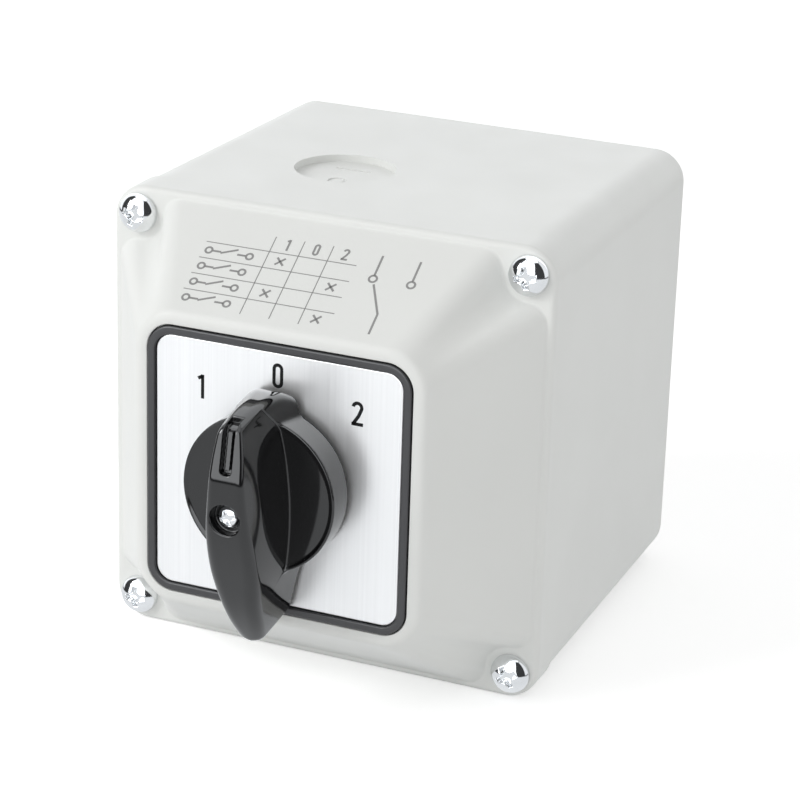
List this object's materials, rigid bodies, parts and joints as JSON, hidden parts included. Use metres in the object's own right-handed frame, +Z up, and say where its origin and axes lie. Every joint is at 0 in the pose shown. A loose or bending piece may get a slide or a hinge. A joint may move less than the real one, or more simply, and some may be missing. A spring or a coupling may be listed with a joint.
{
  "type": "changeover cam switch",
  "caption": "Rotary cam changeover switch in a deep plastic wall box, with a raised screwed cover, a square label plate and a lever knob that turns either way from centre off.",
  "frame": {"origin": "centre of the enclosure's flat back, on the wall", "axes": "+Y into the wall, -Y towards the user, +Z up, +X to the right of someone facing the switch"},
  "size_m": [0.108, 0.1453, 0.108],
  "materials": {
    "enclosure_plastic": "satin",
    "black_plastic": "gloss",
    "label_aluminium": "brushed",
    "plated_steel": "bright zinc plate",
    "seal_rubber": "matt",
    "insert_brass": "machined",
    "contact_brass": "stamped",
    "switch_body_plastic": "matt",
    "cam_plastic": "matt"
  },
  "bodies": {
    "enclosure": {"base_box": "enclosure_plastic", "front_cover": "enclosure_plastic", "cover_gasket": "seal_rubber", "cover_screws": "plated_steel", "cover_screw_seals": "seal_rubber", "screw_inserts": "insert_brass", "escutcheon_frame": "black_plastic", "label_plate": "label_aluminium", "plate_gasket": "seal_rubber", "panel_screws": "plated_steel", "index_housing": "switch_body_plastic", "index_base": "switch_body_plastic", "shaft_seal": "seal_rubber", "detent_springs": "plated_steel", "contact_chamber_1": "switch_body_plastic", "contact_chamber_2": "switch_body_plastic", "contact_chamber_3": "switch_body_plastic", "contact_chamber_4": "switch_body_plastic", "contact_chamber_5": "switch_body_plastic", "fixed_contacts": "contact_brass", "terminal_screws": "plated_steel", "terminal_clamps": "plated_steel", "contact_springs": "plated_steel", "end_plate": "switch_body_plastic", "tie_bolts": "plated_steel", "tie_nuts": "plated_steel"},
    "rotor": {"knob": "black_plastic", "knob_screw": "plated_steel", "shaft": "plated_steel", "star_wheel": "cam_plastic", "stop_disc": "plated_steel", "cams": "cam_plastic", "shaft_clip": "plated_steel"},
    "upper_contacts": {"carrier_upper_1": "cam_plastic", "carrier_upper_2": "cam_plastic", "carrier_upper_3": "cam_plastic", "carrier_upper_4": "cam_plastic", "carrier_upper_5": "cam_plastic", "bridge_upper_1": "contact_brass", "bridge_upper_2": "contact_brass", "bridge_upper_3": "contact_brass", "bridge_upper_4": "contact_brass", "bridge_upper_5": "contact_brass"},
    "lower_contacts": {"carrier_lower_1": "cam_plastic", "carrier_lower_2": "cam_plastic", "carrier_lower_3": "cam_plastic", "carrier_lower_4": "cam_plastic", "carrier_lower_5": "cam_plastic", "bridge_lower_1": "contact_brass", "bridge_lower_2": "contact_brass", "bridge_lower_3": "contact_brass", "bridge_lower_4": "contact_brass", "bridge_lower_5": "contact_brass"},
    "detent_upper": {"detent_ball_upper": "plated_steel", "detent_plunger_upper": "cam_plastic"},
    "detent_lower": {"detent_ball_lower": "plated_steel", "detent_plunger_lower": "cam_plastic"}
  },
  "joints": [
    {"name": "knob_turn", "type": "hinge", "parent": "enclosure", "child": "rotor", "pos_m": [0, 0, 0], "axis": [0, 1, 0], "range_deg": [-45, 45]},
    {"name": "upper_contacts_slide", "type": "slide", "parent": "enclosure", "child": "upper_contacts", "axis": [0, 0, 1], "range_m": [-0.00161, 0.00161], "deforming": ["contact_springs"]},
    {"name": "lower_contacts_slide", "type": "slide", "parent": "enclosure", "child": "lower_contacts", "axis": [0, 0, 1], "range_m": [-0.00161, 0.00161], "deforming": ["contact_springs"]},
    {"name": "detent_upper_slide", "type": "slide", "parent": "enclosure", "child": "detent_upper", "axis": [0, 0, 1], "range_m": [-0.0014, 0], "deforming": ["detent_springs"]},
    {"name": "detent_lower_slide", "type": "slide", "parent": "enclosure", "child": "detent_lower", "axis": [0, 0, 1], "range_m": [0, 0.0014], "deforming": ["detent_springs"]}
  ],
  "couplings": [
    {"joint": "upper_contacts_slide", "follows": "knob_turn", "m_per_rad": 0.0020372},
    {"joint": "lower_contacts_slide", "follows": "knob_turn", "m_per_rad": 0.0020372}
  ]
}
